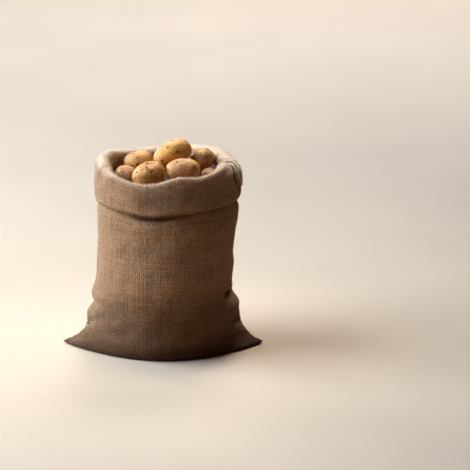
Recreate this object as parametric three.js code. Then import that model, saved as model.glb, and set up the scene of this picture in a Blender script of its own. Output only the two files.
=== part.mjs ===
// Open jute sack standing on the floor: one length of sacking folded at the bottom and sewn up both
// sides, its mouth rolled down into a cuff, filled with potatoes. Millimetres, +Z up, the bottom fold
// along X, the panel that faces forward towards -Y.
import * as THREE from "three";
import { mergeVertices } from "three/addons/utils/BufferGeometryUtils.js";

// Driving dimensions
const CLOTH = 2.4; // thickness of the sacking
const COLUMN_TURN = 8; // degrees between points around the sack
const SEAM_COLUMN_TURN = 3; // the same across a side seam
const WALL_RADIUS = 160; // of the filled wall, for lengths measured round it
const EAR_ROOT = 172; // past this distance from the middle the two panels lie sewn together
const EAR_TOP = 110; // height that the sewn ears reach up the wall
const EAR_GAP = 0.8; // share of the wall's depth that is still open at an ear's root
const BED_TOP = 352; // level up to which the filling is one bed
const BED_INSET = 20; // from the wall to the bed, past its deepest crease
const BED_LIFT = 0.5; // from the cloth of the bottom to the bed
const POTATO_SIDES = 12;
const POTATO_RINGS = 8;
const BLUNT = 2.35; // roundness of a potato's ends, 2 being an egg's
const POTATO_CLEARANCE = 0.9; // left between potatoes that lie on each other
const DROP_STEP = 0.5; // how finely a potato is lowered on to what lies below it
const DROP_FROM = 520; // height that every potato is lowered from

// The sack's wall from the floor to the cuff, a row for each section: how far it reaches from the
// middle, and how far its two ends are pinched to a point, from 1, an oval, upwards.
const WALL = [
  { height: 2, left: 224, right: 222, front: 134, back: 132, pinch: 1.95 },
  { height: 6, left: 233, right: 231, front: 141, back: 139, pinch: 2 },
  { height: 12, left: 219, right: 217, front: 146, back: 144, pinch: 2 },
  { height: 20, left: 202, right: 205, front: 150, back: 148, pinch: 1.92 },
  { height: 30, left: 191, right: 196, front: 152, back: 151, pinch: 1.85 },
  { height: 42, left: 182, right: 188, front: 154, back: 153, pinch: 1.68 },
  { height: 55, left: 176, right: 181, front: 155, back: 154, pinch: 1.52 },
  { height: 68, left: 175, right: 177, front: 156, back: 155, pinch: 1.4 },
  { height: 80, left: 174, right: 176, front: 156, back: 156, pinch: 1.3 },
  { height: 92, left: 170, right: 174, front: 157, back: 157, pinch: 1.22 },
  { height: 102, left: 166, right: 172, front: 157, back: 157, pinch: 1.16 },
  { height: 111, left: 164, right: 168, front: 158, back: 158, pinch: 1.12 },
  { height: 120, left: 164, right: 164, front: 158, back: 158, pinch: 1.08 },
  { height: 129, left: 163, right: 161, front: 159, back: 159, pinch: 1.05 },
  { height: 139, left: 160, right: 159, front: 160, back: 160, pinch: 1.02 },
  { height: 152, left: 156, right: 158, front: 161, back: 161, pinch: 1 },
  { height: 175, left: 153, right: 159, front: 162, back: 161, pinch: 1 },
  { height: 205, left: 151, right: 160, front: 162, back: 161, pinch: 1 },
  { height: 238, left: 149, right: 161, front: 161, back: 160, pinch: 1 },
  { height: 268, left: 148, right: 165, front: 159, back: 159, pinch: 1 },
  { height: 294, left: 149, right: 170, front: 157, back: 157, pinch: 1 },
  { height: 315, left: 150, right: 172, front: 156, back: 156, pinch: 1 },
  { height: 332, left: 149, right: 172, front: 155, back: 154, pinch: 1 },
];

// The mouth and the cuff in plan, both through the middle of the cloth.
const MOUTH = { left: 121, right: 130, front: 119, back: 121, pinch: 1 };
const CUFF = { left: 154, right: 177, front: 161, back: 160, pinch: 1 };

// The cloth's way over the rim: share runs from the mouth to the cuff, and up from the cuff's lower
// edge to the rim. Where the front panel folds over more sharply, ahead stands in share's place and front
// in up's. Over is how far the cloth faces upwards there, seam how much of a side seam's band shows, and
// tuck how much of the fold beside it. The last rows are the edge tucked behind the cuff.
const ROLL = [
  { share: 0.0, up: 0.78, ahead: 0.3, front: 0.68, over: 0, seam: 0, tuck: 0 },
  { share: 0.03, up: 0.88, ahead: 0.37, front: 0.85, over: 0.2, seam: 0.3, tuck: 0 },
  { share: 0.13, up: 0.955, ahead: 0.46, front: 0.955, over: 0.6, seam: 0.8, tuck: 0 },
  { share: 0.28, up: 0.99, ahead: 0.55, front: 0.998, over: 0.9, seam: 1, tuck: 0.1 },
  { share: 0.45, up: 1.0, ahead: 0.63, front: 0.985, over: 1, seam: 1, tuck: 0.3 },
  { share: 0.62, up: 0.985, ahead: 0.7, front: 0.935, over: 0.9, seam: 1, tuck: 0.5 },
  { share: 0.78, up: 0.94, ahead: 0.75, front: 0.855, over: 0.6, seam: 1, tuck: 0.7 },
  { share: 0.9, up: 0.86, ahead: 0.79, front: 0.745, over: 0.3, seam: 1, tuck: 0.9 },
  { share: 0.97, up: 0.72, ahead: 0.835, front: 0.6, over: 0.1, seam: 1, tuck: 1 },
  { share: 1.0, up: 0.5, ahead: 0.885, front: 0.44, over: 0, seam: 1, tuck: 1 },
  { share: 1.0, up: 0.28, ahead: 0.94, front: 0.29, over: 0, seam: 0.8, tuck: 0.7 },
  { share: 0.985, up: 0.12, ahead: 0.98, front: 0.135, over: 0, seam: 0.6, tuck: 0.3 },
  { share: 0.94, up: 0.03, ahead: 0.95, front: 0.035, over: 0, seam: 0.3, tuck: 0 },
  { share: 0.885, up: 0.01, ahead: 0.895, front: 0.01, over: 0, seam: 0, tuck: 0 },
  { share: 0.835, up: 0.05, ahead: 0.84, front: 0.05, over: 0, seam: 0, tuck: 0 },
  { share: 0.82, up: 0.14, ahead: 0.81, front: 0.14, over: 0, seam: 0, tuck: 0 },
  { share: 0.8, up: 0.4, ahead: 0.77, front: 0.36, over: 0, seam: 0, tuck: 0 },
];
const SHARP_FROM = 0.15; // how far a column faces forward, of 1, from where the front's fold starts
const SHARP_FULL = 0.75; // and from where it is complete
const WALL_UNDER_CUFF = [0.33, 0.67]; // shares of the way from the wall's top row to the rolled part

// Heights of the rim and of the cuff's lower edge round the sack: turn is in degrees from the right
// side by way of the back.
const RIM = [
  { turn: 0, rim: 430, edge: 353 },
  { turn: 30, rim: 443, edge: 351 },
  { turn: 60, rim: 441, edge: 349 },
  { turn: 95, rim: 432, edge: 348 },
  { turn: 125, rim: 433, edge: 347 },
  { turn: 155, rim: 444, edge: 346 },
  { turn: 180, rim: 445, edge: 345 },
  { turn: 205, rim: 434, edge: 350 },
  { turn: 232, rim: 420, edge: 350 },
  { turn: 258, rim: 416, edge: 342 },
  { turn: 285, rim: 432, edge: 348 },
  { turn: 302, rim: 427, edge: 352 },
  { turn: 328, rim: 435, edge: 352 },
];

// Main creases of the wall: each is a soft trough about its middle, run long and wide across, that
// climbs by lean degrees to the right. A negative depth is a ridge.
const CREASES = [
  { turn: 350, height: 129, run: 44, wide: 11, lean: -6, depth: 13 },
  { turn: 344, height: 106, run: 44, wide: 13, lean: 6, depth: -4 },
  { turn: 352, height: 60, run: 46, wide: 11, lean: -20, depth: 6 },
  { turn: 187, height: 103, run: 52, wide: 10, lean: 8, depth: 10 },
  { turn: 190, height: 52, run: 46, wide: 11, lean: 22, depth: 6 },
  { turn: 198, height: 150, run: 60, wide: 14, lean: -18, depth: 4 },
  { turn: 22, height: 97, run: 50, wide: 12, lean: 12, depth: 7 },
  { turn: 160, height: 124, run: 50, wide: 12, lean: -10, depth: 7 },
];

// The two side seams: bands of turned-in cloth that stand proud where the mouth is rolled over. The
// front panel's cuff tucks in beside the right-hand one.
const SEAMS = [
  { turn: 357, reach: 7, proud: 4.5, tuck: 6 },
  { turn: 181, reach: 6, proud: 2, tuck: 2 },
];
const SEAM_EDGE = 2.6; // degrees over which a band's edge rises
const SEAM_COLUMNS = 15; // degrees to both sides of a seam that have closer columns

// Potatoes in the order in which they lie: half sizes, the turn of the long axis from +X, how far its
// far end is lifted, and how much thicker that end is.
const POTATOES = [
  { x: 14, y: 4, long: 46, wide: 38, tall: 33, turn: 20, lift: 0, swell: 0.05 },
  { x: -78, y: -46, long: 38, wide: 27, tall: 19, turn: 120, lift: 0, swell: 0.05 },
  { x: -12, y: -88, long: 37, wide: 28, tall: 21, turn: 172, lift: 0, swell: 0.1 },
  { x: 62, y: -80, long: 33, wide: 26, tall: 27, turn: 24, lift: 0, swell: 0.06 },
  { x: 106, y: -14, long: 34, wide: 25, tall: 23, turn: 84, lift: 0, swell: 0.08 },
  { x: 84, y: 65, long: 36, wide: 28, tall: 31, turn: 128, lift: 0, swell: 0.05 },
  { x: 15, y: 91, long: 32, wide: 26, tall: 25, turn: 178, lift: 0, swell: 0.08 },
  { x: -52, y: 82, long: 33, wide: 26, tall: 26, turn: 30, lift: 0, swell: 0.07 },
  { x: -92, y: 25, long: 31, wide: 25, tall: 29, turn: 74, lift: 0, swell: 0.08 },
  { x: -50, y: 16, long: 20, wide: 15, tall: 24, turn: 80, lift: 0, swell: 0.05 },
  { x: -41, y: -18, long: 19, wide: 15, tall: 14, turn: 100, lift: 0, swell: 0.06 },
  { x: -82, y: -42, long: 26, wide: 22, tall: 22, turn: 160, lift: 0, swell: 0.06 },
  { x: -32, y: -72, long: 40, wide: 30, tall: 29, turn: 40, lift: 10, swell: 0.1 },
  { x: 47, y: -62, long: 39, wide: 29, tall: 27, turn: 5, lift: 0, swell: 0.05 },
  { x: 106, y: -31, long: 21, wide: 17, tall: 14, turn: 75, lift: 0, swell: 0.05 },
  { x: -56, y: 22, long: 34, wide: 26, tall: 24, turn: 8, lift: 12, swell: 0.07 },
  { x: 90, y: 32, long: 30, wide: 26, tall: 24, turn: 62, lift: 0, swell: 0.05 },
  { x: 48, y: 62, long: 22, wide: 17, tall: 15, turn: 110, lift: 0, swell: 0.06 },
  { x: 22, y: 5, long: 48, wide: 29, tall: 29, turn: 35, lift: 16, swell: 0.06 },
];

const JUTE = new THREE.MeshStandardMaterial({ color: 0xa98a68, roughness: 0.95, metalness: 0 });
const POTATO_SKIN = new THREE.MeshStandardMaterial({ color: 0xc79a55, roughness: 0.6, metalness: 0 });

const radians = THREE.MathUtils.degToRad;
const mix = THREE.MathUtils.lerp;
const smoothstep = THREE.MathUtils.smoothstep;
const TURNS = columnTurns();

// Turns of the columns of points, closer together across the side seams.
function columnTurns() {
  const turns = [];
  for (let turn = 0; turn < 360; ) {
    turns.push(turn);
    const near = SEAMS.some((seam) => Math.abs(turnFrom(seam.turn, turn)) < SEAM_COLUMNS);
    turn += near ? SEAM_COLUMN_TURN : COLUMN_TURN;
  }
  return turns;
}

// Degrees from one turn to another, the shorter way round.
function turnFrom(from, to) {
  return ((to - from + 540) % 360) - 180;
}

// A column of RIM at any turn, along a smooth curve through its rows.
function around(column, turn) {
  const count = RIM.length;
  const next = RIM.findIndex((row) => row.turn > turn);
  const place = (next < 0 ? count : next) - 1;
  const at = (step) => {
    const index = place + step;
    const lap = Math.floor(index / count);
    const row = RIM[index - lap * count];
    return { turn: row.turn + 360 * lap, value: row[column] };
  };
  const [before, from, to, after] = [at(-1), at(0), at(1), at(2)];
  const span = to.turn - from.turn;
  const slopeFrom = ((to.value - before.value) / (to.turn - before.turn)) * span;
  const slopeTo = ((after.value - from.value) / (after.turn - from.turn)) * span;
  const t = (turn - from.turn) / span;
  const ease = t * t * (3 - 2 * t);
  const leave = t * (1 - t) * (1 - t);
  const arrive = t * t * (1 - t);
  return mix(from.value, to.value, ease) + slopeFrom * leave - slopeTo * arrive;
}

function mixOutline(from, to, share) {
  const mixed = {};
  for (const key of ["left", "right", "front", "back", "pinch"]) mixed[key] = mix(from[key], to[key], share);
  return mixed;
}

// A point of an outline at a turn: inset is how far the outline is drawn in there.
function outlinePoint(outline, turn, height, inset = 0) {
  const across = Math.cos(radians(turn));
  const deep = Math.sin(radians(turn));
  const reach = (across < 0 ? outline.left : outline.right) - inset;
  const depth = (deep < 0 ? outline.front : outline.back) - inset;
  return new THREE.Vector3(
    reach * across,
    depth * Math.sign(deep) * Math.abs(deep) ** outline.pinch,
    height,
  );
}

// How far the creases draw the wall in at a turn and a height.
function creaseDepth(turn, height) {
  return CREASES.reduce((sum, crease) => {
    const aside = radians(turnFrom(crease.turn, turn)) * WALL_RADIUS;
    const above = height - crease.height;
    const lean = radians(crease.lean);
    const along = (aside * Math.cos(lean) + above * Math.sin(lean)) / crease.run;
    const over = (above * Math.cos(lean) - aside * Math.sin(lean)) / crease.wide;
    return sum + crease.depth * Math.exp(-along * along - over * over);
  }, 0);
}

function wallPoint(row, turn) {
  return outlinePoint(row, turn, row.height, creaseDepth(turn, row.height));
}

// How far a side seam lifts the rolled cloth off its plain form at a turn.
function seamRise(station, turn) {
  return SEAMS.reduce((sum, seam) => {
    const aside = turnFrom(seam.turn, turn);
    const band = 1 - smoothstep(Math.abs(aside), seam.reach - SEAM_EDGE, seam.reach + SEAM_EDGE);
    const beside = (aside + seam.reach + SEAM_EDGE) / SEAM_EDGE;
    const tuck = station.tuck * seam.tuck * Math.exp(-beside * beside);
    return sum + station.seam * seam.proud * band - tuck;
  }, 0);
}

function rollPoint(station, turn) {
  const edge = around("edge", turn);
  const rise = seamRise(station, turn);
  const sharp = smoothstep(-Math.sin(radians(turn)), SHARP_FROM, SHARP_FULL);
  const share = mix(station.share, station.ahead, sharp);
  const up = mix(station.up, station.front, sharp);
  const height = mix(edge, around("rim", turn), up) + rise * station.over;
  return outlinePoint(mixOutline(MOUTH, CUFF, share), turn, height, -rise * (1 - station.over));
}

// The middle of the cloth from the floor up the wall, over the rim and down to the tucked edge.
function clothRows() {
  const wallTop = WALL[WALL.length - 1];
  const wall = WALL.map((row) => TURNS.map((turn) => wallPoint(row, turn)));
  const hidden = WALL_UNDER_CUFF.map((share) =>
    TURNS.map((turn) => wallPoint(wallTop, turn).lerp(rollPoint(ROLL[0], turn), share)),
  );
  const roll = ROLL.map((station) => TURNS.map((turn) => rollPoint(station, turn)));
  return [...wall, ...hidden, ...roll];
}

// The outward direction of a grid of points at one of them.
function gridNormal(rows, row, column) {
  const width = rows[row].length;
  const along = new THREE.Vector3().subVectors(
    rows[row][(column + 1) % width],
    rows[row][(column + width - 1) % width],
  );
  const up = new THREE.Vector3().subVectors(
    rows[Math.min(row + 1, rows.length - 1)][column],
    rows[Math.max(row - 1, 0)][column],
  );
  return along.cross(up).normalize();
}

// A closed solid over rings of points that run from a first pole to a last one.
function loft(first, rings, last) {
  const width = rings[0].length;
  const points = [first, ...rings.flat(), last];
  const at = (ring, column) => 1 + ring * width + (column % width);
  const faces = [];
  for (let column = 0; column < width; column++) {
    faces.push(0, at(0, column + 1), at(0, column));
    for (let ring = 0; ring + 1 < rings.length; ring++) {
      const [a, b] = [at(ring, column), at(ring, column + 1)];
      const [c, d] = [at(ring + 1, column), at(ring + 1, column + 1)];
      faces.push(a, b, d, a, d, c);
    }
    const end = rings.length - 1;
    faces.push(points.length - 1, at(end, column), at(end, column + 1));
  }
  const geometry = new THREE.BufferGeometry().setFromPoints(points);
  geometry.setIndex(faces);
  return geometry;
}

// The cloth's middle moved outwards by a distance. Inwards it stops at the roots of the sewn ears.
function offsetRows(middle, distance) {
  return middle.map((points, row) =>
    points.map((point, column) => {
      const moved = point.clone().addScaledVector(gridNormal(middle, row, column), distance);
      const inEar = point.z < EAR_TOP && Math.abs(point.x) > EAR_ROOT;
      if (distance < 0 && inEar) {
        moved.x = Math.sign(point.x) * EAR_ROOT;
        moved.y = point.y * EAR_GAP;
      }
      return moved;
    }),
  );
}

// The cloth as one solid: its outer face, the tucked raw edge, and its inner face back to the floor.
function sackGeometry() {
  const middle = clothRows();
  const outer = offsetRows(middle, CLOTH / 2);
  const inner = offsetRows(middle, -CLOTH / 2);
  for (const point of outer[0]) point.z = 0;
  for (const point of inner[0]) point.z = CLOTH;
  const floor = new THREE.Vector3(0, 0, 0);
  const inside = new THREE.Vector3(0, 0, CLOTH);
  return loft(floor, [...outer, ...inner.reverse()], inside);
}

// The filling below the uppermost potatoes, as one mass that stands on the bottom.
function bedGeometry() {
  const foot = CLOTH + BED_LIFT;
  const ring = (row, height, inset = BED_INSET) =>
    TURNS.map((turn) => outlinePoint(row, turn, height, inset));
  const lowest = WALL.find((row) => row.pinch === 1);
  const top = WALL[WALL.length - 1];
  return loft(
    new THREE.Vector3(0, 0, foot),
    [ring(lowest, foot, 2 * BED_INSET), ring(lowest, lowest.height), ring(top, BED_TOP)],
    new THREE.Vector3(0, 0, BED_TOP),
  );
}

function bluntLength(x, y, z) {
  return (Math.abs(x) ** BLUNT + Math.hypot(y, z) ** BLUNT) ** (1 / BLUNT);
}

function potatoGeometry({ long, wide, tall, swell }) {
  const geometry = new THREE.SphereGeometry(1, POTATO_SIDES, POTATO_RINGS).rotateZ(Math.PI / 2);
  geometry.deleteAttribute("normal");
  geometry.deleteAttribute("uv");
  const merged = mergeVertices(geometry, 1e-4);
  const position = merged.getAttribute("position");
  for (let i = 0; i < position.count; i++) {
    const [x, y, z] = [position.getX(i), position.getY(i), position.getZ(i)];
    const size = bluntLength(x, y, z);
    const girth = 1 + (swell * x) / size;
    position.setXYZ(i, (long * x) / size, (wide * girth * y) / size, (tall * girth * z) / size);
  }
  return merged;
}

// Whether a point of one potato lies in the other, or nearer to it than the clearance.
function within(point, potato) {
  const { long, wide, tall, swell } = potato.userData;
  const local = potato.worldToLocal(point.clone());
  const girth = 1 + (swell * local.x) / long;
  const [x, y, z] = [
    local.x / (long + POTATO_CLEARANCE),
    local.y / (wide * girth + POTATO_CLEARANCE),
    local.z / (tall * girth + POTATO_CLEARANCE),
  ];
  return bluntLength(x, y, z) < 1;
}

function surfacePoints(potato) {
  potato.updateMatrixWorld(true);
  const position = potato.geometry.getAttribute("position");
  return Array.from({ length: position.count }, (_, i) =>
    new THREE.Vector3().fromBufferAttribute(position, i).applyMatrix4(potato.matrixWorld),
  );
}

function touches(potato, other) {
  return (
    surfacePoints(potato).some((point) => within(point, other)) ||
    surfacePoints(other).some((point) => within(point, potato))
  );
}

// Lowers a potato until it lies on the bed or on another potato.
function lower(potato, placed) {
  potato.position.z = DROP_FROM;
  const onBed = () => surfacePoints(potato).some((point) => point.z < BED_TOP + POTATO_CLEARANCE);
  while (!onBed() && !placed.some((other) => touches(potato, other))) potato.position.z -= DROP_STEP;
  potato.position.z += DROP_STEP;
}

function potatoMeshes() {
  const placed = [];
  POTATOES.forEach((row, index) => {
    const potato = new THREE.Mesh(potatoGeometry(row), POTATO_SKIN);
    potato.name = `potato_${String(index + 1).padStart(2, "0")}`;
    potato.rotation.set(0, -radians(row.lift), radians(row.turn), "ZYX");
    potato.position.set(row.x, row.y, 0);
    potato.userData = row;
    lower(potato, placed);
    placed.push(potato);
  });
  return placed;
}

function named(name, geometry, material) {
  const mesh = new THREE.Mesh(geometry, material);
  mesh.name = name;
  return mesh;
}

const sack = new THREE.Group();
sack.add(named("sack_cloth", sackGeometry(), JUTE));
sack.add(named("potato_bed", bedGeometry(), POTATO_SKIN));
sack.add(...potatoMeshes());

export default sack;
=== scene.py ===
"""Open jute sack filled with potatoes: its cloth, sewing, filling and stage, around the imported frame."""

import math

import bmesh
import bpy
import numpy as np
from mathutils import Euler, Matrix, Vector, noise


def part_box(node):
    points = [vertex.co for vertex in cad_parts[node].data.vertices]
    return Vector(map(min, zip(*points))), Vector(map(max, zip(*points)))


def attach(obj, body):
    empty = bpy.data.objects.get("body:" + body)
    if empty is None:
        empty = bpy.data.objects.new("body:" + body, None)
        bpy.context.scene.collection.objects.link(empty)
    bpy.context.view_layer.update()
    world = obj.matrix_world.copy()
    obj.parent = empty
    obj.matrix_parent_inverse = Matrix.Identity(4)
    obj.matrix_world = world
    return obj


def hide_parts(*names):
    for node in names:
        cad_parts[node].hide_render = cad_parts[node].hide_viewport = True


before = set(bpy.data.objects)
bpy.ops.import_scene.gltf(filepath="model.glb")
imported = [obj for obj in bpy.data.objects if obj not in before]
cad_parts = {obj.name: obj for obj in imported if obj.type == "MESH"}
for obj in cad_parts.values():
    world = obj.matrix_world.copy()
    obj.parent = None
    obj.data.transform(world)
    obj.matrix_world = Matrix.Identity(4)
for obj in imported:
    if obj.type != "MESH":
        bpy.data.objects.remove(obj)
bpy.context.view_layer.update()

bl_info = {
    "name": "Jute Sack of Potatoes",
    "version": (1, 0, 0),
    "blender": (4, 5, 0),
    "location": "View3D > Sidebar > Jute Sack",
    "description": "Makes an open jute sack with a rolled cuff, its sewing and its potatoes",
    "category": "Add Mesh",
}

MM = 0.001
BODY = "root"
SAME_POINT, NO_LENGTH = 1e-6, 1e-7  # metres within which two points are one, and an edge is none

# The sack's wall from the floor to the cuff, in millimetres: height, reach to the left, right, front and
# back, and how far the two ends are pinched to a point, from 1, an oval, upwards.
WALL = (
    (2, 224, 222, 134, 132, 1.95),
    (6, 233, 231, 141, 139, 2.0),
    (12, 219, 217, 146, 144, 2.0),
    (20, 202, 205, 150, 148, 1.92),
    (30, 191, 196, 152, 151, 1.85),
    (42, 182, 188, 154, 153, 1.68),
    (55, 176, 181, 155, 154, 1.52),
    (68, 175, 177, 156, 155, 1.4),
    (80, 174, 176, 156, 156, 1.3),
    (92, 170, 174, 157, 157, 1.22),
    (102, 166, 172, 157, 157, 1.16),
    (111, 164, 168, 158, 158, 1.12),
    (120, 164, 164, 158, 158, 1.08),
    (129, 163, 161, 159, 159, 1.05),
    (139, 160, 159, 160, 160, 1.02),
    (152, 156, 158, 161, 161, 1.0),
    (175, 153, 159, 162, 161, 1.0),
    (205, 151, 160, 162, 161, 1.0),
    (238, 149, 161, 161, 160, 1.0),
    (268, 148, 165, 159, 159, 1.0),
    (294, 149, 170, 157, 157, 1.0),
    (315, 150, 172, 156, 156, 1.0),
    (332, 149, 172, 155, 154, 1.0),
)
BOTTOM_SHARES = (0.0, 0.3, 0.6, 0.85)  # of the way from the bottom fold to the wall's lowest row

# The mouth and the cuff in plan, in millimetres: left, right, front, back and pinch.
MOUTH = (121, 130, 119, 121, 1.0)
CUFF = (154, 177, 161, 160, 1.0)

# The cloth's way over the rim: share of the way from the mouth to the cuff, share of the way up from the
# cuff's lower edge to the rim, the same two where the front panel folds over more sharply, how far the cloth
# faces upwards, and how much of a seam's band shows there. The last rows are the edge tucked behind the cuff.
ROLL = (
    (0.0, 0.78, 0.3, 0.68, 0.0, 0.0),
    (0.03, 0.88, 0.37, 0.85, 0.2, 0.3),
    (0.13, 0.955, 0.46, 0.955, 0.6, 0.8),
    (0.28, 0.99, 0.55, 0.998, 0.9, 1.0),
    (0.45, 1.0, 0.63, 0.985, 1.0, 1.0),
    (0.62, 0.985, 0.7, 0.935, 0.9, 1.0),
    (0.78, 0.94, 0.75, 0.855, 0.6, 1.0),
    (0.9, 0.86, 0.79, 0.745, 0.3, 1.0),
    (0.97, 0.72, 0.835, 0.6, 0.1, 1.0),
    (1.0, 0.5, 0.885, 0.44, 0.0, 1.0),
    (1.0, 0.28, 0.94, 0.29, 0.0, 0.8),
    (0.985, 0.12, 0.98, 0.135, 0.0, 0.6),
    (0.94, 0.03, 0.95, 0.035, 0.0, 0.3),
    (0.885, 0.01, 0.895, 0.01, 0.0, 0.0),
    (0.835, 0.05, 0.84, 0.05, 0.0, 0.0),
    (0.82, 0.14, 0.81, 0.14, 0.0, 0.0),
    (0.8, 0.4, 0.77, 0.36, 0.0, 0.0),
)
SHARP = (0.15, 0.75)  # how far a column faces forward where the front's sharper fold starts and is complete
WALL_UNDER_CUFF = (0.33, 0.67)  # shares of the way from the wall's top row to the rolled part

# A turn in degrees from the right side by way of the back, and the heights of the rim and of the cuff's lower
# edge there in millimetres.
RIM = (
    (0, 430, 353),
    (30, 443, 351),
    (60, 441, 349),
    (95, 432, 348),
    (125, 433, 347),
    (155, 444, 346),
    (180, 445, 345),
    (205, 434, 350),
    (232, 420, 350),
    (258, 416, 342),
    (285, 432, 348),
    (302, 427, 352),
    (328, 435, 352),
)
RIM_HEIGHT, EDGE_HEIGHT = 1, 2  # columns of RIM

# Creases of the wall: turn and height of the middle, half length and half width in millimetres, degrees by
# which it climbs to the right, and depth. A negative depth is a ridge. The first eight follow the solid's.
CREASES = (
    (350, 129, 46, 9, -6, 18),
    (344, 106, 44, 13, 6, -6),
    (352, 60, 46, 11, -20, 6),
    (187, 103, 52, 10, 8, 10),
    (190, 52, 46, 11, 22, 6),
    (198, 150, 60, 14, -18, 4),
    (22, 97, 50, 12, 12, 7),
    (160, 124, 50, 12, -10, 7),
    (207, 74, 60, 10, 16, 3.4),
    (214, 34, 70, 12, 20, 3.6),
    (333, 78, 56, 10, -14, 3.4),
    (328, 36, 70, 12, -20, 3.6),
    (338, 152, 46, 8, -4, 2.2),
    (206, 122, 44, 8, -6, 1.8),
    (30, 56, 60, 11, 18, 2.6),
    (150, 52, 62, 11, -18, 2.6),
    (250, 24, 90, 12, 4, 1.4),
    (292, 22, 90, 12, -4, 1.4),
    (192, 318, 34, 8, 8, 2.0),
    (346, 322, 34, 8, -8, 2.2),
    (240, 339, 70, 14, -4, 8.0),
    (300, 341, 75, 11, -3, 4.0),
    (203, 345, 34, 12, -4, -4.5),
    (112, 58, 80, 12, -8, 2.2),
    (66, 36, 80, 12, 9, 2.4),
    (128, 176, 60, 10, 12, 1.8),
    (48, 164, 60, 10, -10, 1.8),
)
WALL_RADIUS = 160.0  # millimetres, for lengths measured round the wall

# Side seams: turn, half width of the band in degrees, and how proud it stands in millimetres.
SEAMS = (
    (357, 7, 3),
    (181, 6, 1),
)
SEAM_EDGE = 1.3  # degrees over which a band's edge rises
SEAM_CLOSENESS = 0.55  # how much closer together the columns stand at the seams
SEAM_LINE = (0.0, 180.0)  # turns of the sewn lines down the two sides
SEAM_GROOVE = (1.3, 3.5)  # depth and half width of those lines in millimetres
SEAM_PUCKERS = (0.5, 9.0, 6.0, 13.0)  # height of the puckers beside them, distance, half width and pitch

# Clefts where the front panel's cuff ends beside a seam: the side of each that the front panel lies on, how
# dark the painted shade in the cleft is, and its path. A row of a path is a place along the rolled cloth in
# millimetres, a turn, the depth there, the height of the shoulder beside it, both in millimetres, and the
# half width in degrees.
CLEFTS = (
    (-1, 1.0, (
        (4, 362, 0, 0, 2.0), (10, 359.5, 4, 0, 2.6), (16, 356.5, 8, 0, 3.2), (24, 353, 9, 0, 3.2),
        (32, 349.5, 9, 1, 2.6), (40, 346, 8, 2, 2.2), (50, 342, 7, 3, 1.9), (60, 340, 6, 2.5, 1.8),
        (70, 340.5, 6, 2, 1.8), (80, 343, 5.5, 1, 1.8), (94, 347.5, 5, 0, 1.8), (108, 352, 4, 0, 1.8),
        (118, 354, 2.5, 0, 1.8), (126, 354.5, 0, 0, 1.8),
    )),
    (1, 0.0, (
        (0, 203, 0, 0, 1.5), (12, 202, 4, -1, 1.5), (28, 200, 5, -3, 1.6), (44, 200, 4, -4, 1.7),
        (58, 200, 3, -3, 1.8), (80, 198, 1, -1, 2.0), (110, 196, 0, 0, 2.0),
    )),
)
DARK_DEPTH = 7.0  # millimetres of a cleft's depth at which its painted shade is darkest, as if no light got in
DARK_ASIDE = 1.2  # degrees by which the darkest line of the painted shade lies away from the front panel
SHOULDER = (6.5, 5.0)  # degrees from the cleft, and half width in degrees

# The ridge in which the front panel's rim ends beside the right-hand cleft: turn, place along the rolled
# cloth and height, both in millimetres. Its crest is painted pale as a highlight.
RIDGE = (
    (316, 30, 0),
    (325, 30, 3),
    (334, 29, 5.5),
    (341, 27, 7.5),
    (346, 25, 5),
    (350, 23, 0),
)
RIDGE_REACH = 8.0  # half width of the ridge in millimetres

# Painted shade between the strands of the right-hand seam, warmed like earth: place along the rolled cloth in
# millimetres, turn, half width in degrees, and how dark it is.
SEAM_SHADE = (
    (4, 367, 3, 0),
    (12, 362, 5, 0.7),
    (24, 358, 6, 0.8),
    (36, 355, 6, 0.75),
    (48, 352, 5.5, 0.6),
    (62, 350, 5, 0.45),
    (84, 351, 4, 0.2),
    (104, 354, 3, 0),
)

# Painted shade on the front of the cuff, where it turns away from the light, in the same columns.
CUFF_SHADE = (
    (28, 258, 20, 0),
    (40, 258, 23, 0.32),
    (54, 259, 26, 0.47),
    (70, 260, 27, 0.56),
    (84, 260, 25, 0.54),
    (98, 259, 21, 0.38),
    (110, 258, 17, 0.1),
    (118, 258, 14, 0),
)

# Painted highlight and painted shade: places are in millimetres along the rolled cloth, heights in
# millimetres, turns in degrees.
UPWARD_HIGHLIGHT = (0.15, 0.85)  # how far the rolled cloth faces upwards where its painted highlight starts and where it is complete
FORWARD_LESS_HIGHLIGHT = (0.55, 0.95)  # how far a column faces forward where the painted highlight gets less and where it is least
HIGHLIGHT_LOST = 0.7  # share of the painted highlight that is lost where it is least
CREST = (27.0, 5.0, 0.95)  # place of the front rim's crest, half width of its painted highlight line, and how strong that is
SHADE_HIDES = 1.7  # how many times its own darkness the painted shade hides of the painted highlight
FRONT_SHADE_START = (34.0, 62.0)  # places between which the painted shade on the cuff's front starts
FRONT_SHADE_END = (88.0, 112.0)  # places between which that painted shade ends
FRONT_SHADE = 0.3  # how dark that painted shade is
TUCKED = (110.0, 124.0)  # places between which the cuff's edge turns under into its own painted shadow
UNDER_LEFT = (228.0, 248.0)  # turns between which the painted shadow under the cuff starts
UNDER_RIGHT = (264.0, 304.0)  # turns between which it fades
UNDER_LINE = (3.0, 9.0)  # how far below the cuff's edge it lies, and its half width
UNDER_DARK = (0.9, 0.5)  # how dark it is, and the share of that which fades
FOOT = (80.0, 260.0)  # heights between which the foot's painted shade fades
SOLE = (0.0, 50.0)  # heights between which the darkest painted shade by the floor fades
FOOT_DARK = (0.62, 0.38)  # how dark the foot's painted shade is, and how much the painted shade by the floor adds
FOOT_SIDE = (-0.99, -0.7)  # how far a column faces right where the foot's painted shade is least and most
FOOT_SHARES = (0.7, 0.3)  # share of the foot's painted shade where it is least, and what is added at most
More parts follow.
